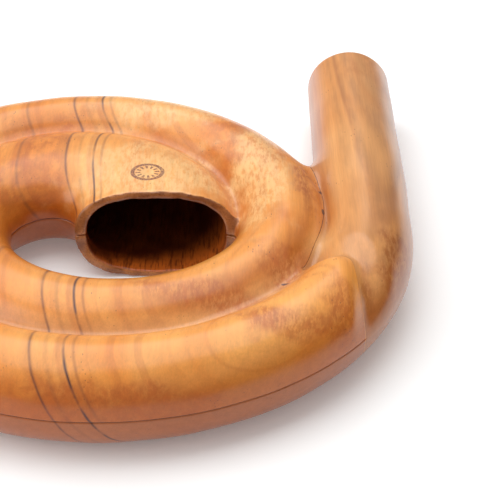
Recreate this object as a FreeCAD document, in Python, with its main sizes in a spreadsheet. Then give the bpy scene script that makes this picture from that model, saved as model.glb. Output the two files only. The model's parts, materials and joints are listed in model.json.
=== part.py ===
"""Spiral didgeridoo: a coiled wooden wind instrument that lies flat on a table.

The air column starts at the mouth end of a straight neck, winds inwards through
three half turns of round tube, and opens through a wide flattened bell that faces
the middle of the spiral. The coil is carved from two boards, an upper and a lower
half, which meet at a level seam. The neck is a separate bored piece, coped round the
inner turns and fitted behind the shoulder that ends the front coil. Glue films hold
the four faces together.

Frame: millimetres, +Z up, +Y along the neck towards the mouth end. The origin is
under the middle of the object's box, on the surface that it rests on.
"""
import FreeCAD, Part
import Sketcher
import math
import os

DIMENSIONS = [
    ("tube_radius", 28.5, "outer radius of the coiled tube"),
    ("bore_radius", 15.0, "radius of the air column up to the bell"),
    ("neck_radius", 29.5, "outer radius of the straight neck"),
    ("neck_taper", 60.0, "length over which the neck thickens from the tube's radius"),
    ("neck_length", 202.0, "straight neck, from the turns' centre line to the mouth end"),
    ("rim_rounding", 6.0, "rounding of the mouth end's outer edge"),
    ("lip_rounding", 4.0, "rounding of the mouth end's inner edge"),
    ("first_turn_radius", 150.0, "centre-line radius of the outer front half turn"),
    ("second_turn_radius", 125.0, "centre-line radius of the back half turn"),
    ("third_turn_radius", 97.0, "centre-line radius of the inner front half turn"),
    ("bell_turn_width", 58.0, "half the width of the bell's own half turn"),
    ("bell_turn_depth", 61.0, "depth of the bell's own half turn"),
    ("bell_half_width", 50.5, "half the outer width of the bell's mouth"),
    ("bell_hollow_half_width", 42.5, "half the width of the bell's opening"),
    ("bell_hollow_half_height", 23.5, "half the height of the bell's opening"),
    ("bell_lip_reach", 14.0, "straight stretch of the bell in front of the centre line"),
    ("bell_face_setback", 4.0, "top of the bell's mouth, behind the turns' centre line"),
    ("bell_face_lean", 9.0, "lean of the bell's mouth, lower lip forward, degrees"),
    ("seam_height", 27.5, "seam between the two halves, above the resting surface"),
    ("glue_thickness", 0.3, "thickness of every glue film"),
    ("cope_radius", 162.7, "plan radius of the neck's joint face along the inner turns"),
    ("cope_inset", 32.3, "back end of that face, inwards from the neck's axis"),
    ("cope_back", 57.0, "back end of that face, behind the turns' centre line"),
    ("shoulder_inset", 41.5, "start of the front coil's shoulder, inwards from the neck's axis"),
    ("shoulder_front", 57.3, "the shoulder's back face, in front of the centre line"),
    ("shoulder_rounding", 12.0, "plan radius of the shoulder's corner"),
    ("shoulder_lean", 8.1, "lean of the shoulder's side face, degrees from the neck's axis"),
    ("shoulder_end_inset", 4.9, "front end of that face, inwards from the neck's axis"),
    ("block_size", 500.0, "side of the blocks that trim the pieces"),
]
BELL_SECTIONS = 8
ARC_GUESS = 0.2
NODES = ("coil_upper_half", "coil_lower_half", "seam_glue", "neck_tube", "neck_glue")

doc = FreeCAD.newDocument("spiral_didgeridoo")
sheet = doc.addObject("Spreadsheet::Sheet", "Dimensions")
for row, (alias, value, note) in enumerate(DIMENSIONS, start=1):
    sheet.set("A%d" % row, note)
    sheet.set("B%d" % row, str(value))
    sheet.setAlias("B%d" % row, alias)
doc.recompute()

# Places worked out from the driving dimensions, as expressions of the sheet.
# The half turns share one centre line, turn_y; each starts where the last one ends.
NECK_X = "(Dimensions.first_turn_radius + (Dimensions.tube_radius - Dimensions.neck_radius) / 2)"
TURN_Y = "((Dimensions.first_turn_radius + Dimensions.tube_radius - Dimensions.neck_length) / 2)"
FIRST_X = NECK_X + " - Dimensions.first_turn_radius"
SECOND_X = FIRST_X + " - Dimensions.first_turn_radius + Dimensions.second_turn_radius"
THIRD_X = SECOND_X + " + Dimensions.second_turn_radius - Dimensions.third_turn_radius"
BELL_X = THIRD_X + " - Dimensions.third_turn_radius + Dimensions.bell_turn_width"
SEAM_Z = "Dimensions.seam_height"


def bind(obj, **expressions):
    """Tie properties of an object to the sheet."""
    for name, expression in expressions.items():
        obj.setExpression(name, expression)


def place(obj, x=None, y=None, z=None):
    """Tie an object's position to the sheet."""
    for axis, expression in (("x", x), ("y", y), ("z", z)):
        if expression is not None:
            obj.setExpression("Placement.Base." + axis, expression)


def combine(kind, name, *shapes):
    """A Part boolean of two shapes, or a fuse of many."""
    obj = doc.addObject(kind, name)
    if kind == "Part::MultiFuse":
        obj.Shapes = list(shapes)
    else:
        obj.Base, obj.Tool = shapes
    return obj


def half_turn(name, centre_x, turn_radius, section_radius, front):
    """Half a torus lying level in the seam plane, in front of or behind the centre line."""
    torus = doc.addObject("Part::Torus", name)
    torus.Angle3 = 180
    bind(torus, Radius1="Dimensions." + turn_radius, Radius2=section_radius)
    torus.Placement.Rotation = FreeCAD.Rotation(180 if front else 0, 0, 0)
    place(torus, centre_x, TURN_Y, SEAM_Z)
    return torus


def bell_turn(name, start, half_width, half_height):
    """Loft through ellipses that grow from the round tube, and a straight lip after it."""
    sections = []
    for step in range(BELL_SECTIONS + 1):
        angle = 180.0 * step / BELL_SECTIONS
        growth = "%.5f" % math.sin(math.radians(angle / 2))
        ellipse = doc.addObject("Part::Ellipse", "%s_section_%d" % (name, step))
        bind(ellipse,
             MajorRadius="%s + (%s - %s) * %s" % (start, half_width, start, growth),
             MinorRadius="%s + (%s - %s) * %s" % (start, half_height, start, growth))
        ellipse.Placement.Rotation = FreeCAD.Rotation(180 - angle, 0, 90)
        across = "%.5f" % math.cos(math.radians(angle))
        along = "%.5f" % math.sin(math.radians(angle))
        place(ellipse,
              BELL_X + " - Dimensions.bell_turn_width * " + across,
              TURN_Y + " + Dimensions.bell_turn_depth * " + along,
              SEAM_Z)
        sections.append(ellipse)
    loft = doc.addObject("Part::Loft", name)
    loft.Sections = sections
    loft.Solid = True
    loft.Ruled = False
    lip = doc.addObject("Part::Extrusion", name + "_lip")
    lip.Base = sections[-1]
    lip.Dir = FreeCAD.Vector(0, -1, 0)
    lip.Solid = True
    bind(lip, LengthFwd="Dimensions.bell_lip_reach")
    return combine("Part::MultiFuse", name + "_and_lip", loft, lip)


def block(name, length=None, width=None, height=None):
    """A trimming block; a side that isn't given is as large as the sheet's block."""
    box = doc.addObject("Part::Box", name)
    bind(box,
         Length=length or "Dimensions.block_size",
         Width=width or "Dimensions.block_size",
         Height=height or "Dimensions.block_size")
    return box


def closed_outline(sketch, corners, curved=()):
    """Draw a closed outline of lines, with an arc after each corner numbered in curved."""
    for index, (x, y) in enumerate(corners):
        nx, ny = corners[(index + 1) % len(corners)]
        start, end = FreeCAD.Vector(x, y, 0), FreeCAD.Vector(nx, ny, 0)
        if index in curved:
            side = FreeCAD.Vector(start.y - end.y, end.x - start.x, 0) * ARC_GUESS
            edge = Part.Arc(start, (start + end) / 2 + side, end)
        else:
            edge = Part.LineSegment(start, end)
        sketch.addGeometry(edge)


def dimension(sketch, name, kind, edge, point, guess, expression):
    """A distance from the sketch's origin to a point, tied to the sheet."""
    number = sketch.addConstraint(Sketcher.Constraint(kind, -1, 1, edge, point, guess))
    sketch.renameConstraint(number, name)
    sketch.setExpression("Constraints." + name, expression)


def neck_body():
    """The neck's straight stretch: a bored, turned tube with a rounded mouth end."""
    body = doc.addObject("PartDesign::Body", "neck_turning")
    plane = [f for f in body.Origin.OriginFeatures if f.Role == "XY_Plane"][0]
    sketch = body.newObject("Sketcher::SketchObject", "neck_profile")
    sketch.AttachmentSupport = [(plane, "")]
    sketch.MapMode = "FlatFace"
    inner, foot, outer = sheet.bore_radius, sheet.tube_radius, sheet.neck_radius
    shoulder, top = sheet.neck_taper, sheet.neck_length
    corners = [(inner, 0), (foot, 0), (outer, shoulder), (outer, top), (inner, top)]
    closed_outline(sketch, corners)
    for index in range(len(corners)):
        following = (index + 1) % len(corners)
        sketch.addConstraint(Sketcher.Constraint("Coincident", index, 2, following, 1))
    for index, kind in ((0, "Horizontal"), (2, "Vertical"), (3, "Horizontal"), (4, "Vertical")):
        sketch.addConstraint(Sketcher.Constraint(kind, index))
    sketch.addConstraint(Sketcher.Constraint("PointOnObject", 0, 1, -1))
    dimension(sketch, "bore", "DistanceX", 0, 1, inner, "Dimensions.bore_radius")
    dimension(sketch, "foot", "DistanceX", 0, 2, foot, "Dimensions.tube_radius")
    dimension(sketch, "outside", "DistanceX", 1, 2, outer, "Dimensions.neck_radius")
    dimension(sketch, "taper", "DistanceY", 1, 2, shoulder, "Dimensions.neck_taper")
    dimension(sketch, "length", "DistanceY", 2, 2, top, "Dimensions.neck_length")
    turned = body.newObject("PartDesign::Revolution", "neck_revolution")
    turned.Profile = sketch
    turned.ReferenceAxis = (sketch, ["V_Axis"])
    turned.Angle = 360
    doc.recompute()
    last = turned
    for name, wall, rounding in (("outer_rim", outer, "Dimensions.rim_rounding"),
                                 ("inner_lip", inner, "Dimensions.lip_rounding")):
        fillet = body.newObject("PartDesign::Fillet", name)
        fillet.Base = (last, mouth_edges(last.Shape, wall))
        fillet.setExpression("Radius", rounding)
        doc.recompute()
        last = fillet
    place(body, NECK_X, TURN_Y, SEAM_Z)
    return body


def mouth_edges(shape, radius):
    """Names of the round edges of one radius at the neck's mouth end."""
    found = []
    for number, edge in enumerate(shape.Edges, start=1):
        centre = edge.BoundBox.Center
        round_edge = isinstance(edge.Curve, Part.Circle) and abs(edge.Curve.Radius - radius) < 0.01
        if round_edge and abs(centre.y - sheet.neck_length) < 0.01:
            found.append("Edge%d" % number)
    return found


def joint_block(name, shift):
    """A tall block over the neck's side of its joint; its inner face is the joint face.

    In plan the face follows an arc along the inner turns, then goes round the shoulder
    that ends the front coil. Shifting the block away from both leaves room for the glue.
    """
    sketch = doc.addObject("Sketcher::SketchObject", name + "_outline")
    reach = sheet.block_size / 4
    back, rounding = -sheet.shoulder_front, sheet.shoulder_rounding
    corners = [(-sheet.cope_inset, sheet.cope_back),
               (-sheet.shoulder_inset, back),
               (-2 * rounding, back),
               (-rounding, back - rounding),
               (-sheet.shoulder_end_inset, -reach),
               (reach, -reach), (reach, 2 * reach),
               (-sheet.cope_inset, 2 * reach)]
    arcs = {0: "cope_radius", 2: "shoulder_rounding"}
    closed_outline(sketch, corners, curved=arcs)
    for index in range(len(corners)):
        # An arc's ends are numbered anticlockwise, so these arcs start at point 2.
        following = (index + 1) % len(corners)
        end, start = 1 if index in arcs else 2, 2 if following in arcs else 1
        smooth = 2 in (index, following)
        sketch.addConstraint(Sketcher.Constraint("Tangent" if smooth else "Coincident",
                                                 index, end, following, start))
    for index, side in ((1, "Horizontal"), (4, "Horizontal"), (5, "Vertical"),
                        (6, "Horizontal"), (7, "Vertical")):
        sketch.addConstraint(Sketcher.Constraint(side, index))
    for index, alias in arcs.items():
        number = sketch.addConstraint(Sketcher.Constraint("Radius", index, sheet.get(alias)))
        sketch.renameConstraint(number, alias)
        sketch.setExpression("Constraints." + alias, "Dimensions." + alias)
    lean = math.radians(sheet.shoulder_lean - 90)
    number = sketch.addConstraint(Sketcher.Constraint("Angle", 3, lean))
    sketch.renameConstraint(number, "lean")
    sketch.setExpression("Constraints.lean", "(Dimensions.shoulder_lean - 90) * 1 deg")
    for label, kind, edge, point, size, expression in (
            ("cope_x", "DistanceX", 0, 2, corners[0][0], "-Dimensions.cope_inset"),
            ("cope_y", "DistanceY", 0, 2, corners[0][1], "Dimensions.cope_back"),
            ("shoulder_x", "DistanceX", 1, 1, corners[1][0], "-Dimensions.shoulder_inset"),
            ("shoulder_y", "DistanceY", 1, 1, back, "-Dimensions.shoulder_front"),
            ("end_x", "DistanceX", 3, 2, corners[4][0], "-Dimensions.shoulder_end_inset"),
            ("front_y", "DistanceY", 3, 2, -reach, "-Dimensions.block_size / 4"),
            ("side_x", "DistanceX", 4, 2, reach, "Dimensions.block_size / 4"),
            ("back_y", "DistanceY", 5, 2, 2 * reach, "Dimensions.block_size / 2")):
        dimension(sketch, label, kind, edge, point, size, expression)
    place(sketch, NECK_X + shift, TURN_Y + shift, "-Dimensions.block_size / 2")
    prism = doc.addObject("Part::Extrusion", name)
    prism.Base = sketch
    prism.Dir = FreeCAD.Vector(0, 0, 1)
    prism.Solid = True
    bind(prism, LengthFwd="Dimensions.block_size")
    return prism


def build():
    """Make every helper shape and the five pieces; return the pieces by node name."""
    tube, bore = "Dimensions.tube_radius", "Dimensions.bore_radius"
    corner = "-Dimensions.block_size / 2"

    # The bell's mouth is sawn along a leaning plane that is fixed at the top of the bell.
    saw = block("bell_saw")
    saw.Placement.Rotation = FreeCAD.Rotation(FreeCAD.Vector(-1, 0, 0), sheet.bell_face_lean)
    saw.setExpression("Placement.Rotation.Angle", "Dimensions.bell_face_lean * 1 deg")
    cosine, sine = "cos(Dimensions.bell_face_lean * 1 deg)", "sin(Dimensions.bell_face_lean * 1 deg)"
    place(saw, BELL_X,
          TURN_Y + " + Dimensions.bell_face_setback - Dimensions.block_size"
          " * (%s + %s / 2)" % (cosine, sine),
          SEAM_Z + " + Dimensions.tube_radius + Dimensions.block_size"
          " * (%s - %s / 2)" % (sine, cosine))
    bell = combine("Part::Cut", "sawn_bell",
                   bell_turn("bell_turn", tube, "Dimensions.bell_half_width", tube), saw)

    # The whole carved form: turns and bell, less the air column, with the bored neck.
    turns = combine(
        "Part::MultiFuse", "turns",
        half_turn("first_turn", FIRST_X, "first_turn_radius", tube, True),
        half_turn("second_turn", SECOND_X, "second_turn_radius", tube, False),
        half_turn("third_turn", THIRD_X, "third_turn_radius", tube, True),
        bell)
    air = combine(
        "Part::MultiFuse", "air_column",
        half_turn("first_bore", FIRST_X, "first_turn_radius", bore, True),
        half_turn("second_bore", SECOND_X, "second_turn_radius", bore, False),
        half_turn("third_bore", THIRD_X, "third_turn_radius", bore, True),
        bell_turn("bell_bore", bore, "Dimensions.bell_hollow_half_width",
                  "Dimensions.bell_hollow_half_height"))
    whole = combine("Part::Fuse", "whole_form",
                    combine("Part::Cut", "hollow_turns", turns, air), neck_body())

    # The joint face parts the neck from the coil, and leaves room for its glue.
    coil_side = joint_block("coil_side", "")
    neck_side = joint_block("neck_side", " + Dimensions.glue_thickness")
    coil = combine("Part::Cut", "coil", whole, coil_side)
    table = block("table")
    place(table, corner, corner, "-Dimensions.block_size")
    neck = combine("Part::Cut", "neck_tube",
                   combine("Part::Common", "neck_form", whole, neck_side), table)
    joint_film = combine("Part::Cut", "joint_film", coil_side, neck_side)
    neck_glue = combine("Part::Cut", "neck_glue",
                        combine("Part::Common", "joint_glue", whole, joint_film), table)

    # The seam parts the coil's two boards. The lower one and the neck are planed level.
    half_film = "Dimensions.glue_thickness / 2"
    above, below = block("above_seam"), block("below_seam")
    slab = block("seam_slab", height="Dimensions.glue_thickness")
    place(above, corner, corner, SEAM_Z + " + " + half_film)
    place(below, corner, corner, SEAM_Z + " - " + half_film + " - Dimensions.block_size")
    place(slab, corner, corner, SEAM_Z + " - " + half_film)
    upper = combine("Part::Common", "coil_upper_half", coil, above)
    seam = combine("Part::Common", "seam_glue", coil, slab)
    lower = combine("Part::Cut", "coil_lower_half",
                    combine("Part::Common", "lower_coil", coil, below), table)
    doc.recompute()
    return dict(zip(NODES, (upper, lower, seam, neck, neck_glue)))


def check(pieces):
    """Stop unless every object recomputed and every piece is a sound solid."""
    for obj in doc.Objects:
        if "Invalid" in obj.State or "Error" in obj.State:
            raise RuntimeError("%s is in state %s" % (obj.Name, obj.State))
    for node, piece in pieces.items():
        shape = piece.Shape
        if shape.isNull() or not shape.isValid() or not shape.Solids:
            raise RuntimeError(node + " has no sound solid")
        box = shape.optimalBoundingBox()
        print("%-16s solids %d volume %.0f mm3 box %.1f..%.1f %.1f..%.1f %.1f..%.1f" % (
            node, len(shape.Solids), shape.Volume,
            box.XMin, box.XMax, box.YMin, box.YMax, box.ZMin, box.ZMax))


def write(pieces):
    """One STEP file for each piece, named after its node."""
    os.makedirs("parts", exist_ok=True)
    for node, piece in pieces.items():
        piece.Label = node
        piece.Shape.exportStep(os.path.join("parts", node + ".step"))


PIECES = build()
check(PIECES)
write(PIECES)
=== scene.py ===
"""Looks of the spiral didgeridoo: a coil carved from two boards, and its glued-on neck.

The visible pieces are carved from one smooth form. The form is a distance field in
millimetres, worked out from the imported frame: three half turns of round tube, a bell
turn that widens to a flattened oval, and a straight neck. It is turned into a mesh,
then sawn along the seam and along the neck's joint, as the real pieces meet.
"""
import json
import math

import bpy
import numpy as np
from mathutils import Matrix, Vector


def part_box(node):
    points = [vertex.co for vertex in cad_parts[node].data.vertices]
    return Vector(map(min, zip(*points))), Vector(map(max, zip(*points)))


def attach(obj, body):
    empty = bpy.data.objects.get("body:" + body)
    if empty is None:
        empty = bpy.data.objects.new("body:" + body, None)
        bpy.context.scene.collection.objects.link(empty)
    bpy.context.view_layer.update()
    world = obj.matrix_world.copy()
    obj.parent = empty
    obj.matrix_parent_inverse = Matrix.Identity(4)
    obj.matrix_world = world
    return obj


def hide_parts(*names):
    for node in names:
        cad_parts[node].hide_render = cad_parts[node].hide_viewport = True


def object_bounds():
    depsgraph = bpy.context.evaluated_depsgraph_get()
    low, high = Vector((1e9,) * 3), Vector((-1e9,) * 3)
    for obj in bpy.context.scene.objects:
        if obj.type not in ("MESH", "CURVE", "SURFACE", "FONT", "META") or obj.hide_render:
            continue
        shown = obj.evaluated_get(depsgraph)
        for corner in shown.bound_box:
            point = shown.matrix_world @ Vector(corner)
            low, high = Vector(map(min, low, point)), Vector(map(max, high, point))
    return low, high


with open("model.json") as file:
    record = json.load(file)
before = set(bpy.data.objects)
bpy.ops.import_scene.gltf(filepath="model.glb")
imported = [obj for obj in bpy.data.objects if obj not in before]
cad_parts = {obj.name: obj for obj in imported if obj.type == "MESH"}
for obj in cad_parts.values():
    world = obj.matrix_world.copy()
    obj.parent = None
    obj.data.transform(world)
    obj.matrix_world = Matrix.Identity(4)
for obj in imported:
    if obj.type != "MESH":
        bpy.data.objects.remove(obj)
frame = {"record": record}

CAD_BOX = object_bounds()
MM = 0.001

# ---------------------------------------------------------------- driving sizes, mm
MOUNTS = {mount["name"]: mount for mount in frame["record"]["mounts"]}


def box_mm(node):
    """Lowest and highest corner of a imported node, in millimetres."""
    low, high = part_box(node)
    return np.array(low) / MM, np.array(high) / MM


BORE_R = MOUNTS["mouth_bore"]["dims"]["r_mm"]
NECK_R = MOUNTS["neck_outside"]["dims"]["r_mm"]
NECK_X, BORE_Y, SEAM_Z = [v / MM for v in MOUNTS["mouth_bore"]["pos_m"]]
COIL_LOW, COIL_HIGH = box_mm("coil_upper_half")
MOUTH_Y = box_mm("neck_tube")[1][1]
TURN_Y = BORE_Y - MOUNTS["mouth_bore"]["dims"]["length_mm"] / 2
TUBE_R = COIL_HIGH[2] - SEAM_Z
NECK_TAPER = 60.0  # over this length the coil's section grows into the neck's

# Half turns of the centre line: each starts where the last one ends, on the line y = TURN_Y.
FIRST_R = (NECK_X - COIL_LOW[0] - TUBE_R) / 2
SECOND_R = 125.0
THIRD_R = 97.0
BELL_RX, BELL_RY = 58.0, 61.0
FIRST_X = NECK_X - FIRST_R
SECOND_X = FIRST_X - FIRST_R + SECOND_R
THIRD_X = SECOND_X + SECOND_R - THIRD_R
BELL_X = THIRD_X - THIRD_R + BELL_RX

BELL_HALF_WIDTH = 50.0
HOLLOW_HALF_WIDTH, HOLLOW_HALF_HEIGHT = 42.5, 23.5
BELL_SQUARENESS = 2.5
BELL_FACE_Y, BELL_FACE_LEAN = TURN_Y + 4.0, math.radians(9.0)
BELL_REACH = 20.0  # how far in front of the turns' common line the bell's hollow goes on
MOUTH_ROUNDING, MOUTH_BORE_ROUNDING, MOUTH_LENGTH = 5.0, 3.5, 30.0
RIM_ROUNDING, FOOT_ROUNDING = 1.3, 1.0

# Fillets between the turns, between the front turn and the neck, and in the web behind it.
VALLEY_FILLET, NECK_FILLET, WEB_FILLET = 9.0, 4.0, 22.0
NECK_SIDE_X, NECK_FILLET_Y, WEB_FILLET_Y = (20, 70), (-60, -15), (15, 50)

GLUE = 0.3
SEAM_GROOVE, SEAM_GROOVE_WIDTH = 0.45, 0.5
NOTCH_GROWTH, NOTCH_REACH_X, NOTCH_REACH_Y = 4.0, 55.0, 14.0  # the groove opens at the bell's rim

# The neck's joint in plan: straight, then an arc along the inner turns, then round the
# shoulder that ends the front coil, whose side leans from the neck's axis.
JOINT_X, JOINT_TOP_Y = NECK_X - 32.3, TURN_Y + 57.0
COPE_R = 162.7
SHOULDER_X, SHOULDER_Y = NECK_X - 41.5, TURN_Y - 57.3
SHOULDER_ROUNDING, SHOULDER_LEAN = 12.0, math.radians(8.1)
SHOULDER_END_X, SHOULDER_END_Y = NECK_X - 4.9, TURN_Y - 125.0
CREASE_DEPTH, CREASE_WIDTH, CREASE_EDGE = 4.5, 24.0, (-9.0, 5.0)
CREASE_X, CREASE_Y, CREASE_UP = (98, 118), (-150, -112), (-2, 14)

# Hand work: how much wood is carved away, least and more, and the waves that it follows:
# wave numbers along x, y and z, and a phase.
CARVED_LEAST, CARVED_MORE = 0.15, 0.7
CARVING_WAVES = ((0.11, 0.043, 0.05, 0.4), (-0.052, 0.097, 0.08, 1.9), (0.083, -0.071, 0.11, 3.1),
                 (0.031, 0.036, 0.16, 5.2), (0.15, 0.12, -0.07, 0.9), (-0.16, 0.10, 0.13, 2.7))

# The mesh: grid step, closer layers beside the seam, and the saw blocks' reach past the object.
GRID_STEP = 1.4
SEAM_LAYERS = (-1.1, -0.7, -0.45, -0.25, -0.08, 0.08, 0.25, 0.45, 0.7, 1.1)
SLOPE_REACH, LONGEST_STEP = 0.15, 1.0
FAR, FAR_BELOW, FAR_ABOVE = 260.0, -20.0, 80.0
SHARP_ANGLE = math.radians(50)
NOWHERE = 99.0  # a distance that never wins a union


# ---------------------------------------------------------------- the carved form
def smooth_min(a, b, size):
    """Union of two distances with a fillet between them."""
    h = np.clip(0.5 + 0.5 * (b - a) / size, 0, 1)
    return b + (a - b) * h - size * h * (1 - h)


def round_max(a, b, radius):
    """Overlap of two distances with a rounded outer edge."""
    a, b = a + radius, b + radius
    return np.minimum(np.maximum(a, b), 0) + np.hypot(np.maximum(a, 0), np.maximum(b, 0)) - radius


def smooth_step(low, high, value):
    """0 below low, 1 above high, and a smooth rise between."""
    t = np.clip((value - low) / (high - low), 0, 1)
    return t * t * (3 - 2 * t)


def oval(across, up, half_width, half_height, power):
    """Distance to a tube whose section is an oval between an ellipse and a rectangle."""
    u = np.abs(across) / half_width + 1e-6
    v = np.abs(up) / half_height + 1e-6
    rho = (u ** power + v ** power) ** (1 / power)
    slope = rho ** (1 - power) * np.hypot(u ** (power - 1) / half_width, v ** (power - 1) / half_height)
    return (rho - 1) / slope


def bell_line(x, y):
    """Offset from the bell turn's centre line, and how far along it, from 0 to 1 at the mouth."""
    dx, dy = x - BELL_X, np.maximum(y - TURN_Y, 0)
    rho = np.hypot(dx / BELL_RX, dy / BELL_RY) + 1e-6
    slope = np.hypot(dx / BELL_RX ** 2, dy / BELL_RY ** 2) / rho + 1e-6
    along = np.arctan2(dy / BELL_RY, -dx / BELL_RX) / math.pi
    across = np.where(y < TURN_Y, np.abs(dx) - BELL_RX, (rho - 1) / slope)
    return across, along


def bell(x, y, up):
    """Distances to the outside and the hollow of the bell turn."""
    across, along = bell_line(x, y)
    growth = np.sin(along * math.pi / 2)
    power = 2 + (BELL_SQUARENESS - 2) * growth
    outside = oval(across, up, TUBE_R + (BELL_HALF_WIDTH - TUBE_R) * growth, TUBE_R, power)
    hollow = oval(across, up,
                  BORE_R + (HOLLOW_HALF_WIDTH - BORE_R) * growth,
                  BORE_R + (HOLLOW_HALF_HEIGHT - BORE_R) * growth, power)
    return outside, hollow


def turn(x, y, centre_x, radius):
    """Offset in plan from a level half turn of the centre line."""
    return np.hypot(x - centre_x, y - TURN_Y) - radius


def off_face(x, y, up):
    """Distance behind the bell's mouth: a leaning saw cut, trimmed by hand, lower lip forward."""
    plane = (y - BELL_FACE_Y) * math.cos(BELL_FACE_LEAN) + (TUBE_R - up) * math.sin(BELL_FACE_LEAN)
    slow_trim = 0.5 * np.sin(0.21 * x + 1.0) * np.sin(0.13 * up + 0.6)
    return plane + slow_trim + 0.3 * np.sin(0.43 * x - 0.2 * up)


def carving(x, y, z):
    """Slow unevenness of a surface shaped by hand, from 0 to 1."""
    total = sum(np.sin(a * x + b * y + c * z + phase) for a, b, c, phase in CARVING_WAVES)
    return 0.5 + total / (2 * len(CARVING_WAVES))


def cope_centre():
    """Centre of the arc between the cope's two ends, on the coil's side."""
    dx, dy = JOINT_X - SHOULDER_X, JOINT_TOP_Y - SHOULDER_Y
    rise = math.sqrt(COPE_R ** 2 / (dx * dx + dy * dy) - 0.25)
    return (JOINT_X + SHOULDER_X) / 2 - dy * rise, (JOINT_TOP_Y + SHOULDER_Y) / 2 + dx * rise


def shoulder(x, y):
    """Distance in plan from the front coil's rounded end; below 0 on the coil."""
    side = ((x - SHOULDER_END_X) * math.cos(SHOULDER_LEAN)
            + (y - SHOULDER_END_Y) * math.sin(SHOULDER_LEAN))
    return round_max(side, y - SHOULDER_Y, SHOULDER_ROUNDING)


def joint_side(x, y):
    """Distance in plan from the neck's joint: above 0 on the neck's side."""
    centre_x, centre_y = cope_centre()
    cope = np.hypot(x - centre_x, y - centre_y) - COPE_R
    return np.minimum(np.where(y > JOINT_TOP_Y, x - JOINT_X, cope), shoulder(x, y))


def crease(x, y, up):
    """How deep the wood is cut back round the front coil's thumb-like end."""
    off = shoulder(x, y)
    depth = CREASE_DEPTH * smooth_step(*CREASE_EDGE, off) * (1 - smooth_step(0, CREASE_WIDTH, off))
    return depth * smooth_step(*CREASE_X, x) * smooth_step(*CREASE_Y, y) * smooth_step(*CREASE_UP, up)


def lines(x, y):
    """Offsets in plan from the outer and the inner winding's centre line."""
    front = y < TURN_Y
    outer = np.where(front, turn(x, y, FIRST_X, FIRST_R), x - NECK_X)
    inner = np.where(front, turn(x, y, THIRD_X, THIRD_R), turn(x, y, SECOND_X, SECOND_R))
    return outer, inner


def air_column(x, y, up):
    """Distance to the air column; below 0 in the air."""
    outer, inner = lines(x, y)
    hollow = np.maximum(bell(x, y, up)[1], TURN_Y - BELL_REACH - y)
    hollow = np.where((x > BELL_X) | (y >= TURN_Y), hollow, NOWHERE)
    return np.minimum(np.hypot(np.minimum(np.abs(outer), np.abs(inner)), up) - BORE_R, hollow)


def fillet_size(x, y):
    """Size of the fillet between neighbouring windings."""
    neck_side = smooth_step(*NECK_SIDE_X, x)
    return (VALLEY_FILLET + (NECK_FILLET - VALLEY_FILLET) * smooth_step(*NECK_FILLET_Y, y) * neck_side
            + (WEB_FILLET - NECK_FILLET) * smooth_step(*WEB_FILLET_Y, y) * neck_side)


def seam_groove(x, y, up):
    """Depth of the worn groove along the seam, deeper at the bell's rim; none on the neck."""
    off_x, off_y = (x - BELL_X - BELL_RX) / NOTCH_REACH_X, (y - BELL_FACE_Y) / NOTCH_REACH_Y
    at_bell = np.exp(-off_x ** 2 - off_y ** 2)
    depth = SEAM_GROOVE * (1 + NOTCH_GROWTH * at_bell) * np.exp(-(up / SEAM_GROOVE_WIDTH) ** 2)
    return depth * (joint_side(x, y) < 0)


def form(points):
    """Distance from the surface of the whole didgeridoo; below 0 in the wood."""
    x, y, z = points[..., 0], points[..., 1], points[..., 2]
    up = z - SEAM_Z
    outer_line, inner_line = lines(x, y)
    neck_r = TUBE_R + (NECK_R - TUBE_R) * smooth_step(0, NECK_TAPER, y - TURN_Y)
    outer_hyp, inner_hyp = np.hypot(outer_line, up), np.hypot(inner_line, up)
    bell_outside = bell(x, y, up)[0]
    off_mouth = np.where(x > BELL_X, -off_face(x, y, up), np.where(y < TURN_Y, NOWHERE, -NOWHERE))
    bell_outside = round_max(bell_outside, off_mouth, RIM_ROUNDING)
    solid = smooth_min(outer_hyp - neck_r, inner_hyp - TUBE_R, fillet_size(x, y))
    solid = smooth_min(solid, bell_outside, VALLEY_FILLET)
    solid = round_max(solid, y - MOUTH_Y, MOUTH_ROUNDING)
    solid = solid + CARVED_LEAST + CARVED_MORE * carving(x, y, z) + crease(x, y, up)
    edge = np.where(y > MOUTH_Y - MOUTH_LENGTH, MOUTH_BORE_ROUNDING, RIM_ROUNDING)
    solid = round_max(solid, -air_column(x, y, up), edge) + seam_groove(x, y, up)
    return round_max(solid, -z, FOOT_ROUNDING)


# ---------------------------------------------------------------- from the form to meshes
def grid_axes():
    """Grid lines round the whole object, closer together beside the seam."""
    low = np.array(CAD_BOX[0]) / MM - 2 * GRID_STEP
    high = np.array(CAD_BOX[1]) / MM + 2 * GRID_STEP
    level = [np.arange(low[k], high[k] + GRID_STEP, GRID_STEP) for k in range(2)]
    near = SEAM_Z + np.array(SEAM_LAYERS)
    below = np.arange(near[0] - GRID_STEP / 2, low[2] - GRID_STEP, -GRID_STEP)[::-1]
    above = np.arange(near[-1] + GRID_STEP / 2, high[2] + GRID_STEP, GRID_STEP)
    return [*level, np.concatenate([below, near, above])]


CORNERS = [(i, j, k) for i in (0, 1) for j in (0, 1) for k in (0, 1)]


def crossed_cells(inside):
    """The grid cells that the surface crosses, and the grid of their numbers."""
    shape = [n - 1 for n in inside.shape]
    count = sum(inside[i:i + shape[0], j:j + shape[1], k:k + shape[2]].astype(np.int8)
                for i, j, k in CORNERS)
    cells = np.argwhere((count > 0) & (count < len(CORNERS)))
    index = np.full(shape, -1, np.int64)
    index[tuple(cells.T)] = np.arange(len(cells))
    return cells, index


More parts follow.
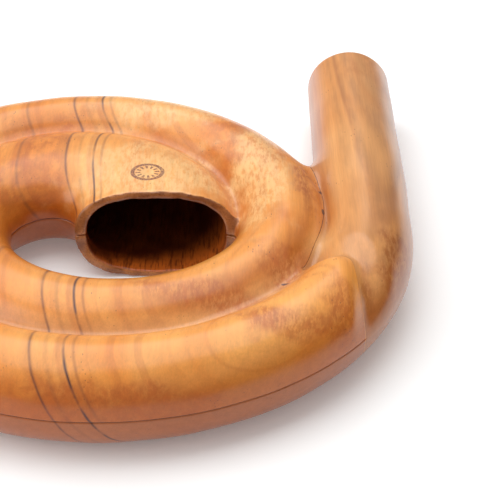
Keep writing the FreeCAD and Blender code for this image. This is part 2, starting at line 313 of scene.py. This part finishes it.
def cell_vertices(values, axes, cells):
    """For each cell, the mean of the places where the surface crosses the cell's edges."""
    total, crossed = np.zeros((len(cells), 3)), np.zeros(len(cells))
    for corner in CORNERS:
        for axis in range(3):
            if corner[axis]:
                continue
            start = cells + corner
            end = start.copy()
            end[:, axis] += 1
            a, b = values[tuple(start.T)], values[tuple(end.T)]
            crosses = (a < 0) != (b < 0)
            part = np.where(crosses, a / np.where(crosses, a - b, 1), 0)
            point = np.stack([axes[k][start[:, k]] for k in range(3)], 1)
            point[:, axis] += part * (axes[axis][end[:, axis]] - axes[axis][start[:, axis]])
            total[crosses] += point[crosses]
            crossed[crosses] += 1
    return total / crossed[:, None]


def surface_net(values, axes):
    """One vertex per grid cell that the surface crosses, and a quad round each crossed edge."""
    inside = values < 0
    cells, index = crossed_cells(inside)
    quads = []
    for axis in range(3):
        b, c = (axis + 1) % 3, (axis + 2) % 3
        first = [slice(None)] * 3
        second = [slice(None)] * 3
        first[axis], second[axis] = slice(None, -1), slice(1, None)
        here, there = inside[tuple(first)], inside[tuple(second)]
        edges = np.argwhere(here != there)
        edges = edges[(edges[:, b] > 0) & (edges[:, c] > 0)]
        outward = here[tuple(edges.T)]
        ring = []
        for db, dc in ((-1, -1), (0, -1), (0, 0), (-1, 0)):
            cell = edges.copy()
            cell[:, b] += db
            cell[:, c] += dc
            ring.append(index[tuple(cell.T)])
        quad = np.stack(ring, 1)
        quad[~outward] = quad[~outward][:, ::-1]
        quads.append(quad)
    return cell_vertices(values, axes, cells), np.concatenate(quads)


def relax(vertices, quads):
    """Move each vertex to the mean of its neighbours."""
    size = len(vertices)
    start = quads.ravel()
    end = np.roll(quads, -1, 1).ravel()
    weight = np.bincount(start, minlength=size) + np.bincount(end, minlength=size)
    moved = [np.bincount(start, vertices[end, k], size) + np.bincount(end, vertices[start, k], size)
             for k in range(3)]
    return np.stack(moved, 1) / weight[:, None]


def settle(vertices, rounds=3):
    """Bring vertices on to the surface along the form's slope."""
    shifts = SLOPE_REACH * np.eye(3)
    for _ in range(rounds):
        slope = np.stack([form(vertices + shift) - form(vertices - shift) for shift in shifts], 1)
        slope = slope / (2 * SLOPE_REACH)
        step = form(vertices)[:, None] * slope / np.maximum((slope ** 2).sum(1), 0.25)[:, None]
        vertices = vertices - np.clip(step, -LONGEST_STEP, LONGEST_STEP)
    return vertices


def new_mesh(name, vertices, faces):
    """A new object in the scene, from vertices in metres."""
    mesh = bpy.data.meshes.new(name)
    mesh.from_pydata(vertices.tolist(), [], faces.tolist() if isinstance(faces, np.ndarray) else faces)
    mesh.update()
    piece = bpy.data.objects.new(name, mesh)
    bpy.context.scene.collection.objects.link(piece)
    return piece


def whole_form():
    """The whole didgeridoo as one mesh, inside the CAD box."""
    axes = grid_axes()
    grid = np.stack(np.meshgrid(*axes, indexing="ij"), -1)
    vertices, quads = surface_net(form(grid), axes)
    for _ in range(2):
        vertices = settle(relax(vertices, quads), 1)
    vertices = settle(vertices)
    low, high = np.array(CAD_BOX[0]) / MM, np.array(CAD_BOX[1]) / MM
    return new_mesh("whole_form", np.clip(vertices, low, high) * MM, quads)


def prism(name, outline, low, high):
    """A closed block with this outline in plan, in millimetres, anticlockwise."""
    count = len(outline)
    vertices = np.array([(x, y, z) for z in (low, high) for x, y in outline]) * MM
    walls = [(k, (k + 1) % count, (k + 1) % count + count, k + count) for k in range(count)]
    return new_mesh(name, vertices, [tuple(range(count))[::-1], tuple(range(count, 2 * count)), *walls])


def joint_line(shift):
    """The neck's joint in plan from front to back, moved towards the neck by shift."""
    cope_x, cope_y = cope_centre()
    corner_y = SHOULDER_Y - SHOULDER_ROUNDING
    drift = SHOULDER_ROUNDING + (corner_y - SHOULDER_END_Y) * math.sin(SHOULDER_LEAN)
    corner_x = SHOULDER_END_X - drift / math.cos(SHOULDER_LEAN)
    front = (SHOULDER_END_X + FAR * math.sin(SHOULDER_LEAN), SHOULDER_END_Y - FAR * math.cos(SHOULDER_LEAN))
    corner = [(corner_x + SHOULDER_ROUNDING * math.cos(a), corner_y + SHOULDER_ROUNDING * math.sin(a))
              for a in np.linspace(SHOULDER_LEAN, math.pi / 2, 24)]
    cope = [(cope_x + COPE_R * math.cos(a), cope_y + COPE_R * math.sin(a))
            for a in np.linspace(math.asin((SHOULDER_Y - cope_y) / COPE_R),
                                 math.asin((JOINT_TOP_Y - cope_y) / COPE_R), 60)]
    return [(x + shift, y + shift) for x, y in [front, *corner, *cope, (JOINT_X, FAR)]]


def cut(source, cutter, name):
    """A new object: the part of source inside cutter, which is used up."""
    piece = source.copy()
    piece.name = name
    bpy.context.scene.collection.objects.link(piece)
    modifier = piece.modifiers.new("cut", "BOOLEAN")
    modifier.operation, modifier.solver, modifier.object = "INTERSECT", "MANIFOLD", cutter
    graph = bpy.context.evaluated_depsgraph_get()
    mesh = bpy.data.meshes.new_from_object(piece.evaluated_get(graph))
    piece.modifiers.clear()
    piece.data = mesh
    mesh.name = name
    bpy.data.objects.remove(cutter)
    return piece


def saw_up(whole):
    """The coil's two boards, the neck and the two glue films between them."""
    under, over = SEAM_Z - GLUE / 2, SEAM_Z + GLUE / 2
    left_end, right_end = [(-FAR, FAR), (-FAR, -2 * FAR)], [(FAR, -2 * FAR), (FAR, FAR)]
    coil_side = prism("coil_side", joint_line(0.0) + left_end, FAR_BELOW, FAR_ABOVE)
    neck_side = prism("neck_side", right_end + joint_line(GLUE)[::-1], FAR_BELOW, FAR_ABOVE)
    between = prism("between", joint_line(GLUE) + joint_line(0.0)[::-1], FAR_BELOW, FAR_ABOVE)
    coil = cut(whole, coil_side, "coil")
    square = [(-FAR, -FAR), (FAR, -FAR), (FAR, FAR), (-FAR, FAR)]
    pieces = {
        "neck": cut(whole, neck_side, "neck"),
        "neck_joint_glue": cut(whole, between, "neck_joint_glue"),
        "upper_board": cut(coil, prism("above", square, over, FAR_ABOVE), "upper_board"),
        "lower_board": cut(coil, prism("below", square, FAR_BELOW, under), "lower_board"),
        "seam_glue_line": cut(coil, prism("level", square, under, over), "seam_glue_line"),
    }
    for used in (whole, coil):
        bpy.data.objects.remove(used)
    for piece in pieces.values():
        piece.data.shade_smooth()
        piece.data.set_sharp_from_angle(angle=SHARP_ANGLE)
    return pieces


# ---------------------------------------------------------------- looks: values
LACQUER, LACQUER_ROUGHNESS, UNDER_GLOSS = 0.9, 0.27, 0.10
WOOD_ROUGHNESS, CUT_ROUGHNESS, WOOD_RELIEF = 0.40, 0.60, 0.00005
BORE_ROUGHNESS, BORE_RELIEF = 0.6, 0.0004
GLUE_ROUGHNESS, GLUE_RELIEF, GLUE_COAT, GLUE_COAT_ROUGHNESS = 0.45, 0.00005, 0.6, 0.15
# Strengths of the painted light in the valleys between turns, and of the painted shade low on the sides.
VALLEY_LIGHT_STRENGTH, FLANK_SHADE_STRENGTH = 0.75, 0.85

# Growth rings: distance from the pith, half width, strength. Metres.
VEINS = ((0.1210, 0.0016, 0.30), (0.1256, 0.0012, 0.95), (0.1345, 0.0020, 0.22), (0.1420, 0.0012, 0.65),
         (0.1690, 0.0016, 0.35), (0.1900, 0.0014, 0.40))
NECK_VEINS = ((0.1170, 0.0030, 0.22), (0.1215, 0.0025, 0.34), (0.1262, 0.0030, 0.30), (0.1310, 0.0030, 0.22))
BOARD_PITH = {"at": (0.088, 0.120), "lean": (-0.063, 0.096)}
NECK_PITH = {"at": (0.118, -0.060), "lean": (-0.21, 0.05)}

# Light, middle, deep and dark tones of each piece's wood.
UPPER_TONES = ((0.86, 0.375, 0.078), (0.74, 0.240, 0.026), (0.42, 0.088, 0.006), (0.055, 0.014, 0.013))
# The lower board's tones: its own redder wood, also darkened as painted shade on the underside.
LOWER_TONES = ((0.62, 0.230, 0.080), (0.50, 0.155, 0.044), (0.36, 0.092, 0.020), (0.08, 0.020, 0.009))
NECK_TONES = ((0.74, 0.345, 0.105), (0.66, 0.250, 0.052), (0.36, 0.095, 0.014), (0.12, 0.030, 0.012))

# Paler places in the figure, and darker places, among them painted shade and a painted dark reflection:
# where, half sizes and strength.
# The figure's pale tone, also used as the painted light in the valleys.
PALE_WOOD_AND_VALLEY_LIGHT = (0.87, 0.52, 0.21)
UPPER_PALES = (
    ((0.022, 0.020, 0.050), (0.058, 0.050, 0.050), 0.80),
    ((0.085, 0.022, 0.055), (0.028, 0.070, 0.030), 0.75),
    ((0.040, 0.108, 0.050), (0.070, 0.030, 0.030), 0.75))
UPPER_DARK_SPOTS_AND_SHADE = (
    ((0.098, -0.078, 0.048), (0.020, 0.024, 0.03), 0.70),
    ((0.050, -0.108, 0.050), (0.050, 0.014, 0.03), 0.70),
    ((0.095, -0.136, 0.045), (0.030, 0.018, 0.03), 0.75),
    ((0.126, -0.120, 0.040), (0.014, 0.040, 0.03), 0.70),
    # painted shade in the hollow between the second turn and the neck
    ((0.112, 0.010, 0.040), (0.012, 0.040, 0.03), 0.85),
    # painted dark reflection along the front, just above the seam
    ((0.020, -0.185, 0.035), (0.100, 0.014, 0.014), 0.75))
# Painted shade on the neck: shade and a dark reflection on its right side at the bend, and shade in the
# crease beside the front coil's end.
NECK_PAINTED_SHADE = (
    ((0.164, -0.072, 0.038), (0.016, 0.050, 0.022), 0.95),
    ((0.143, -0.100, 0.045), (0.006, 0.030, 0.02), 0.70))

# A knot beside the front coil, and filled flaws along the neck's joint.
KNOTS = (((0.0983, -0.0894, 0.046), (0.0024, 0.0013, 0.006)),)
FLAWS = (((0.1219, 0.0379, 0.036), (0.0024, 0.0012, 0.004)),
         ((0.1222, 0.0169, 0.0405), (0.0012, 0.0020, 0.004)),
         ((0.1229, -0.0099, 0.043), (0.0010, 0.0034, 0.004)))
MARK_AT, MARK_RADIUS, MARK_RAYS = (0.0155, 0.0173), 0.0105, 12.0
MARK_TONE = (0.17, 0.045, 0.020)

# The bell's hand-cut rim: dark, light and in its pits. The air column: deep, light, in the
# gouge's marks, and a painted shade far inside, with the y between which it comes in. The glue: dark and
# light.
RIM_TONES = ((0.24, 0.075, 0.018), (0.48, 0.185, 0.055), (0.12, 0.032, 0.010))
BORE_TONES = ((0.100, 0.015, 0.003), (0.56, 0.125, 0.014), (0.085, 0.014, 0.003), (0.030, 0.005, 0.001))
BORE_SHADE_Y = (-0.018, 0.022)
GLUE_TONES = ((0.030, 0.010, 0.006), (0.12, 0.035, 0.018))

# Where a glue line turns as pale as the wood: axis, where it starts and ends, and the pale tone.
SEAM_FADES = (0, 0.030, 0.110, (0.30, 0.085, 0.030))
JOINT_FADES = (1, -0.066, -0.082, (0.62, 0.22, 0.045))


# ---------------------------------------------------------------- looks: materials
class Graph:
    """A material's node tree, with one short call for each kind of node."""

    def __init__(self, name):
        self.material = bpy.data.materials.new(name)
        self.material.use_nodes = True
        self.tree = self.material.node_tree
        self.shader = self.tree.nodes["Principled BSDF"]
        self.place = self.node("ShaderNodeTexCoord").outputs["Object"]

    def node(self, kind, inputs=(), **settings):
        made = self.tree.nodes.new(kind)
        for key, value in settings.items():
            setattr(made, key, value)
        for key, value in dict(inputs).items():
            self.feed(made.inputs[key], value)
        return made

    def feed(self, socket, value):
        if isinstance(value, bpy.types.NodeSocket):
            self.tree.links.new(value, socket)
        elif isinstance(value, tuple) and len(value) == 3 and socket.type == "RGBA":
            socket.default_value = (*value, 1)
        else:
            socket.default_value = value

    def math(self, operation, *values, clamp=False):
        made = self.node("ShaderNodeMath", enumerate(values), operation=operation, use_clamp=clamp)
        return made.outputs[0]

    def mix(self, share, a, b, blend="MIX"):
        made = self.node("ShaderNodeMix", {0: share, 6: a, 7: b}, data_type="RGBA", blend_type=blend)
        return made.outputs[2]

    def remap(self, value, low, high, to_low=0.0, to_high=1.0):
        inputs = {"Value": value, 1: low, 2: high, 3: to_low, 4: to_high}
        return self.node("ShaderNodeMapRange", inputs, interpolation_type="SMOOTHSTEP").outputs[0]

    def stretched(self, x, y, z):
        return self.node("ShaderNodeMapping", {"Vector": self.place, "Scale": (x, y, z)}).outputs[0]

    def noise(self, vector, scale, detail=2.0, roughness=0.5):
        inputs = {"Vector": vector, "Scale": scale, "Detail": detail, "Roughness": roughness}
        return self.node("ShaderNodeTexNoise", inputs).outputs["Fac"]

    def bands(self, value, scale, detail=1.0):
        inputs = {"W": value, "Scale": scale, "Detail": detail}
        return self.node("ShaderNodeTexNoise", inputs, noise_dimensions="1D").outputs["Fac"]

    def read(self, name):
        """A number stored on the mesh."""
        return self.node("ShaderNodeAttribute", attribute_name=name).outputs["Fac"]

    def line(self, value, centre, width):
        """1 at centre, fading to 0 at width from it."""
        off = self.math("ABSOLUTE", self.math("SUBTRACT", value, centre))
        return self.remap(off, 0.0, width, 1.0, 0.0)

    def finish(self, colour, roughness, height, depth, coat=1.0, coat_roughness=0.07):
        """Join the colour, and a height map whose full depth is in metres, to the shader."""
        bump = self.node("ShaderNodeBump", {"Height": height, "Distance": depth, "Strength": 1.0})
        self.feed(self.shader.inputs["Base Color"], colour)
        self.feed(self.shader.inputs["Roughness"], roughness)
        self.feed(self.shader.inputs["Normal"], bump.outputs[0])
        self.shader.inputs["Specular IOR Level"].default_value = UNDER_GLOSS
        self.shader.inputs["Coat Weight"].default_value = coat
        self.shader.inputs["Coat Roughness"].default_value = coat_roughness
        return self.material


def ring_radius(graph, pith):
    """Distance from the log's pith: its growth rings are shells round a nearly level line."""
    x, y, z = graph.node("ShaderNodeSeparateXYZ", {0: graph.place}).outputs
    slow = graph.node("ShaderNodeTexNoise",
                      {"Vector": graph.stretched(1, 0.5, 1), "Scale": 9.0, "Detail": 1.0})
    fine = graph.node("ShaderNodeTexNoise",
                      {"Vector": graph.stretched(1, 0.25, 1), "Scale": 60.0, "Detail": 2.0})
    sides = []
    for axis, (here, start, lean) in enumerate(zip((x, z), pith["at"], pith["lean"])):
        side = graph.math("MULTIPLY_ADD", y, -lean, here)
        side = graph.math("SUBTRACT", side, start)
        for source, size in ((slow, 0.012), (fine, 0.0016)):
            part = graph.node("ShaderNodeSeparateXYZ", {0: source.outputs["Color"]}).outputs[axis]
            side = graph.math("MULTIPLY_ADD", graph.math("SUBTRACT", part, 0.5), size, side)
        sides.append(side)
    squares = [graph.math("MULTIPLY", side, side) for side in sides]
    return graph.math("SQRT", graph.math("ADD", *squares))


def base_colour(graph, radius, tones, figure):
    """Broad rings, slow clouds and the mottled cross figure, before any vein."""
    light, middle, deep, _ = tones
    cloud = graph.noise(graph.stretched(1, 0.6, 1), 15, 3.0, 0.55)
    mottle = graph.noise(graph.stretched(1, 0.5, 1.6), 120, 4.0, 0.62)
    broad = graph.bands(radius, 34, 1.0)
    tone = graph.math("ADD", graph.math("MULTIPLY", broad, 0.5), graph.math("MULTIPLY", cloud, 0.5))
    colour = graph.mix(graph.remap(tone, 0.38, 0.60), middle, light)
    patch = graph.math("MULTIPLY", graph.remap(cloud, 0.49, 0.34), graph.remap(mottle, 0.36, 0.60))
    colour = graph.mix(graph.math("MULTIPLY", patch, 0.6 * figure), colour, deep)
    return graph.mix(graph.remap(graph.bands(radius, 150, 2.0), 0.50, 0.70, 0.0, 0.26), colour, deep)


def off_spot(graph, place, size):
    """How far out from a spot's middle, where 1 is its edge."""
    near = graph.node("ShaderNodeMapping", {
        "Vector": graph.place, "Location": tuple(-p / r for p, r in zip(place, size)),
        "Scale": tuple(1 / r for r in size)}).outputs[0]
    return graph.node("ShaderNodeVectorMath", {0: near}, operation="LENGTH").outputs["Value"]


def add_patches(graph, colour, tone, patches):
    """Broad cross-grained spots, each with its place and half sizes in metres: paler figure, darker spots,
    painted shade and a painted dark reflection.
    """
    mottle = graph.noise(graph.stretched(1.5, 0.45, 1), 300, 4.0, 0.65)
    edge = graph.noise(graph.place, 55, 3.0)
    for place, size, strength in patches:
        off = graph.math("MULTIPLY_ADD", graph.math("SUBTRACT", edge, 0.5), 1.6,
                         off_spot(graph, place, size))
        share = graph.math("MULTIPLY", graph.remap(off, 0.35, 1.1, 1.0, 0.0),
                           graph.remap(mottle, 0.34, 0.60, 0.35, 1.0))
        colour = graph.mix(graph.math("MULTIPLY", share, strength), colour, tone)
    return colour


def add_spots(graph, colour, dark, spots):
    """Small dark knots and filled flaws, each with its place and half sizes in metres."""
    for place, size in spots:
        share = graph.remap(off_spot(graph, place, size), 0.7, 1.15, 0.9, 0.0)
        colour = graph.mix(share, colour, dark)
    return colour


def add_mark(graph, colour):
    """A plain burnt rosette: a ring round twelve short rays."""
    x, y, _ = graph.node("ShaderNodeSeparateXYZ", {0: graph.place}).outputs
    dx, dy = (graph.math("SUBTRACT", v, c) for v, c in zip((x, y), MARK_AT))
    squares = [graph.math("MULTIPLY", d, d) for d in (dx, dy)]
    off = graph.math("DIVIDE", graph.math("SQRT", graph.math("ADD", *squares)), MARK_RADIUS)
    rays = graph.math("SINE", graph.math("MULTIPLY", graph.math("ARCTAN2", dy, dx), MARK_RAYS))
    rays = graph.math("MULTIPLY", graph.remap(rays, -0.1, 0.3), graph.line(off, 0.56, 0.22))
    rays = graph.remap(rays, 0.15, 0.4)
    share = graph.math("MAXIMUM", graph.remap(graph.line(off, 0.88, 0.17), 0.1, 0.4), rays)
    burn = graph.remap(graph.noise(graph.place, 900, 2.0), 0.35, 0.6, 0.5, 0.95)
    return graph.mix(graph.math("MULTIPLY", share, burn), colour, MARK_TONE)


def add_veins(graph, colour, radius, tones, veins):
    """Thin dark lines along some growth rings, each in a faint wider band."""
    streak = graph.noise(graph.stretched(1, 0.3, 1), 70, 3.0, 0.6)
    for centre, width, strength in veins:
        share = graph.math("MULTIPLY", graph.line(radius, centre, width), strength)
        share = graph.math("MULTIPLY", share, graph.remap(streak, 0.30, 0.56, 0.25, 1.0))
        halo = graph.math("MULTIPLY", graph.line(radius, centre + width, width * 3.5), strength * 0.3)
        colour = graph.mix(share, graph.mix(halo, colour, tones[2]), tones[3])
    return colour


def add_grain(graph, colour, dark):
    """Fibres and open pores; returns the colour and a height map."""
    fibre = graph.noise(graph.stretched(1, 0.035, 1), 1100, 3.0, 0.6)
    streak = graph.noise(graph.stretched(1, 0.05, 1), 260, 3.0, 0.6)
    shade = graph.math("ADD", graph.remap(fibre, 0.25, 0.75, 0.93, 1.05),
                       graph.remap(streak, 0.3, 0.7, -0.06, 0.05))
    grey = graph.node("ShaderNodeCombineXYZ", {0: shade, 1: shade, 2: shade}).outputs[0]
    colour = graph.mix(1.0, colour, grey, "MULTIPLY")
    cells = graph.node("ShaderNodeTexVoronoi", {"Vector": graph.stretched(1, 0.3, 1), "Scale": 520.0})
    pore = graph.remap(cells.outputs["Distance"], 0.07, 0.20, 1.0, 0.0)
    pore = graph.math("MULTIPLY", pore, graph.remap(graph.noise(graph.place, 38, 2.0), 0.54, 0.64))
    colour = graph.mix(graph.math("MULTIPLY", pore, 0.6), colour, dark)
    return colour, graph.math("SUBTRACT", graph.math("MULTIPLY", fibre, 0.3),
                              graph.math("MULTIPLY", pore, 0.7))


def cut_faces(graph, colour, height):
    """Turn the wood into the bell's hand-cut rim, and into the darkened bore, where they are."""
    fine = graph.noise(graph.place, 900, 3.0, 0.6)
    cloud = graph.noise(graph.place, 90, 3.0)
    dark, light, pits = RIM_TONES
    rim = graph.mix(graph.remap(cloud, 0.35, 0.65), dark, light)
    rim = graph.mix(graph.remap(fine, 0.50, 0.72, 0.0, 0.6), rim, pits)
    rim_share = graph.remap(graph.read("rim_gap"), 1.0, 1.7, 1.0, 0.0)
    bore, marks = bore_colour(graph)
    bore_share = graph.remap(graph.read("air_gap"), 0.15, 1.1, 1.0, 0.0)
    colour = graph.mix(rim_share, colour, rim)
    colour = graph.mix(bore_share, colour, bore)
    rough = graph.math("MAXIMUM", rim_share, bore_share)
    height = graph.math("ADD", height, graph.math("MULTIPLY", graph.math("MULTIPLY", fine, rough), 4.0))
    return colour, graph.math("ADD", height, graph.math("MULTIPLY", marks, bore_share)), rough


def wood(name, pith, tones, veins, patches=(), spots=(), figure=1.0, pales=(), mark=False):
    """Lacquered hardwood: growth rings, dark veins, fibres, pores and a mottled figure, with painted light
    in the valleys and painted shade low on the sides and in hollows.
    """
    graph = Graph(name)
    radius = ring_radius(graph, pith)
    colour = base_colour(graph, radius, tones, figure)
    # Painted light: the valleys between turns are mixed towards the pale tone.
    colour = graph.mix(graph.math("MULTIPLY", graph.read("valley"), VALLEY_LIGHT_STRENGTH), colour, PALE_WOOD_AND_VALLEY_LIGHT)
    # Painted shade: low on the sides, and on the inner turns' flank towards the neck, the wood is mixed
    # towards its deep tone.
    colour = graph.mix(graph.math("MULTIPLY", graph.read("flank_shade"), FLANK_SHADE_STRENGTH), colour, tones[2])
    colour = add_patches(graph, colour, PALE_WOOD_AND_VALLEY_LIGHT, pales)
    # Darker spots, among them painted shade and a painted dark reflection.
    colour = add_patches(graph, colour, tones[2], patches)
    colour = add_veins(graph, colour, radius, tones, veins)
    colour = add_spots(graph, colour, tones[3], spots)
    if mark:
        colour = add_mark(graph, colour)
    colour, height = add_grain(graph, colour, tones[3])
    colour, height, rough = cut_faces(graph, colour, height)
    roughness = graph.remap(rough, 0.0, 1.0, WOOD_ROUGHNESS, CUT_ROUGHNESS)
    return graph.finish(colour, roughness, height, WOOD_RELIEF, LACQUER, LACQUER_ROUGHNESS)


def bore_colour(graph):
    """Darkened, unlacquered wood of the air column, the gouge's marks in it, and painted shade further in.
    """
    marks = graph.noise(graph.stretched(1, 0.12, 0.12), 620, 3.0, 0.6)
    cloud = graph.noise(graph.place, 30, 3.0)
    y = graph.node("ShaderNodeSeparateXYZ", {0: graph.place}).outputs[1]
    deep, light, gouged, inside = BORE_TONES
    colour = graph.mix(graph.remap(cloud, 0.35, 0.65), deep, light)
    colour = graph.mix(graph.remap(marks, 0.46, 0.66, 0.0, 0.7), colour, gouged)
    # Painted shade: the air column darkens further in.
    return graph.mix(graph.remap(y, *BORE_SHADE_Y, 0.0, 0.85), colour, inside), marks


def bore_wood():
    """The air column's own material, away from its mouths."""
    graph = Graph("bore_wood")
    colour, marks = bore_colour(graph)
    return graph.finish(colour, BORE_ROUGHNESS, marks, BORE_RELIEF, coat=0.0)


def glue(name, fades):
    """Dark hardened glue, slightly uneven; where it fades, it is as pale as the wood."""
    graph = Graph(name)
    cloud = graph.noise(graph.place, 300, 2.0)
    axis, start, end, pale = fades
    along = graph.node("ShaderNodeSeparateXYZ", {0: graph.place}).outputs[axis]
    colour = graph.mix(cloud, *GLUE_TONES)
    colour = graph.mix(graph.remap(along, start, end), colour, pale)
    return graph.finish(colour, GLUE_ROUGHNESS, cloud, GLUE_RELIEF, GLUE_COAT, GLUE_COAT_ROUGHNESS)


def materials():
    """The woods and the glue, by the slot that they stand for."""
    return {
        "upper_board": wood("upper_board_wood", BOARD_PITH, UPPER_TONES, VEINS, UPPER_DARK_SPOTS_AND_SHADE,
                            KNOTS + FLAWS, pales=UPPER_PALES, mark=True),
        "lower_board": wood("lower_board_wood", BOARD_PITH, LOWER_TONES, VEINS[1:4], figure=0.6),
        "neck_wood": wood("neck_wood", NECK_PITH, NECK_TONES, NECK_VEINS, NECK_PAINTED_SHADE, FLAWS, 0.7),
        "seam_glue": glue("seam_glue_dark", SEAM_FADES),
        "joint_glue": glue("joint_glue_dark", JOINT_FADES),
        "bore": bore_wood(),
    }


def valley_light_share(x, y, up):
    """Share of the painted light in the front valley between two turns: 1 there, fading to 0 up their sides
    and round the back.
    """
    outer, inner = (np.hypot(line, up) for line in lines(x, y))
    near = 1 - smooth_step(3.0, 16.0, np.abs(outer - inner))
    return near * smooth_step(2, 8, up) * (1 - smooth_step(-50, -12, y))


def flank_shade_share(x, y, up, slow, valley):
    """Share of the painted shade: 1 low on the outside, and on the inner turns' side towards the neck."""
    low = 1 - smooth_step(4, 29, up + 6 * (slow - 0.5))
    offset = lines(x, y)[1]
    turned_out = smooth_step(3, 15, offset) * (1 - smooth_step(24, 32, offset)) * (1 - valley)
    turned_out = turned_out * (y < TURN_Y + 45) * smooth_step(-20, 40, x) * (0.5 + 0.7 * slow)
    return np.maximum(low, 0.75 * turned_out * (1 - smooth_step(SHOULDER_Y, JOINT_TOP_Y, y)))


def rim_gap(x, y, up):
    """Distance from the bell's sawn rim."""
    off_bell = np.where(x > BELL_X, bell(x, y, up)[0], NOWHERE)
    return np.maximum(np.abs(off_face(x, y, up)), off_bell - 0.5)


def face_gaps(x, y, z):
    """The numbers stored on the mesh for the woods to read."""
    up = z - SEAM_Z
    valley = valley_light_share(x, y, up)
    flank_shade = flank_shade_share(x, y, up, carving(x, y, z), valley)
    # The valley and flank numbers say where the wood paints light and shade.
    return {"air_gap": air_column(x, y, up), "rim_gap": rim_gap(x, y, up), "valley": valley, "flank_shade": flank_shade}


def paint(piece, outside, inside):
    """Give a wooden piece its wood, and the bore's own wood well inside the air column."""
    mesh = piece.data
    mesh.materials.clear()
    for material in (outside, inside):
        mesh.materials.append(material)
    places = np.empty(len(mesh.vertices) * 3)
    mesh.vertices.foreach_get("co", places)
    gaps = face_gaps(*(places.reshape(-1, 3).T / MM))
    for name, values in gaps.items():
        mesh.attributes.new(name, "FLOAT", "POINT").data.foreach_set("value", values.astype(np.float32))
    centres = np.empty(len(mesh.polygons) * 3)
    mesh.polygons.foreach_get("center", centres)
    x, y, z = centres.reshape(-1, 3).T / MM
    up = z - SEAM_Z
    in_bore = (air_column(x, y, up) < 0.1) & (rim_gap(x, y, up) > 6)
    mesh.polygons.foreach_set("material_index", in_bore.astype(np.int32))


# ---------------------------------------------------------------- studio and camera
FLOOR_Z, FLOOR_REACH, FLOOR_TONE, FLOOR_GLOW = -0.0003, 8.0, (0.88, 0.88, 0.88), 0.14
SKY = {"horizon": 0.36, "zenith": 0.58, "dark_side": 0.80}
SKY_TONE = (1, 0.99, 0.98, 1)
# Softboxes: name, place, side and power.
LAMPS = (("top_softbox", (-0.4, 0.8, 2.4), 3.2, 68.0), ("left_softbox", (-1.7, -0.5, 1.0), 1.4, 14.0))


def gradient_world():
    """Soft studio dome: bright above, darker low down on the right."""
    world = bpy.data.worlds.new("studio")
    bpy.context.scene.world = world
    world.use_nodes = True
    tree = world.node_tree
    place = tree.nodes.new("ShaderNodeTexCoord")
    split = tree.nodes.new("ShaderNodeSeparateXYZ")
    tree.links.new(place.outputs["Generated"], split.inputs[0])

    def ramp(source, low, high, to_low, to_high):
        made = tree.nodes.new("ShaderNodeMapRange")
        made.interpolation_type = "SMOOTHSTEP"
        tree.links.new(source, made.inputs[0])
        for index, value in enumerate((low, high, to_low, to_high), start=1):
            made.inputs[index].default_value = value
        return made.outputs[0]

    def product(a, b):
        made = tree.nodes.new("ShaderNodeMath")
        made.operation = "MULTIPLY"
        tree.links.new(a, made.inputs[0])
        tree.links.new(b, made.inputs[1])
        return made.outputs[0]

    height = ramp(split.outputs[2], 0.1, 0.8, SKY["horizon"], SKY["zenith"])
    right = product(ramp(split.outputs[0], 0.25, 0.75, 0.0, SKY["dark_side"]),
                    ramp(split.outputs[2], 0.2, 0.75, 1.0, 0.0))
    keep = ramp(right, 0.0, 1.0, 1.0, 0.0)
    tree.links.new(product(height, keep), tree.nodes["Background"].inputs["Strength"])
    tree.nodes["Background"].inputs["Color"].default_value = SKY_TONE


def studio():
    """The pale floor, the dome and the softboxes."""
    corners = [(x * FLOOR_REACH, y * FLOOR_REACH, FLOOR_Z) for x, y in ((-1, -1), (1, -1), (1, 1), (-1, 1))]
    floor = new_mesh("floor", np.array(corners), [(0, 1, 2, 3)])
    graph = Graph("pale_floor")
    floor.data.materials.append(graph.finish(FLOOR_TONE, 0.9, graph.noise(graph.place, 40), 0.0, 0.0))
    graph.shader.inputs["Emission Color"].default_value = (1, 1, 1, 1)
    graph.shader.inputs["Emission Strength"].default_value = FLOOR_GLOW
    gradient_world()
    for name, place, size, power in LAMPS:
        light = bpy.data.lights.new(name, "AREA")
        light.size, light.energy = size, power
        lamp = bpy.data.objects.new(name, light)
        lamp.location = place
        lamp.rotation_euler = (-Vector(place)).to_track_quat("-Z", "Y").to_euler()
        bpy.context.scene.collection.objects.link(lamp)


CAMERA_AT, CAMERA_TILT = (0.0787, -0.7636, 0.5051), math.radians(57)
LENS, SENSOR = 105.12, 36


def camera():
    """A camera in front, looking a third of the way down."""
    data = bpy.data.cameras.new("camera")
    data.lens, data.sensor_width = LENS, SENSOR
    view = bpy.data.objects.new("camera", data)
    view.location = CAMERA_AT
    view.rotation_euler = (CAMERA_TILT, 0, 0)
    bpy.context.scene.collection.objects.link(view)
    bpy.context.scene.camera = view


# ---------------------------------------------------------------- pieces
# Each visible piece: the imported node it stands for, its slot in the record, and its material.
STANDS_FOR = {
    "upper_board": ("coil_upper_half", "upper_board", "upper_board"),
    "lower_board": ("coil_lower_half", "lower_board", "lower_board"),
    "neck": ("neck_tube", "neck_wood", "neck_wood"),
    "seam_glue_line": ("seam_glue", "glue", "seam_glue"),
    "neck_joint_glue": ("neck_glue", "glue", "joint_glue"),
}


def main():
    """Set up the studio, then carve, paint and hang the five pieces."""
    camera()
    studio()
    looks = materials()
    for name, piece in saw_up(whole_form()).items():
        node, slot, look = STANDS_FOR[name]
        paint(piece, looks[look], looks["bore"])
        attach(piece, "root")
        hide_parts(node)
    bpy.context.scene.view_settings.view_transform = "Standard"


main()
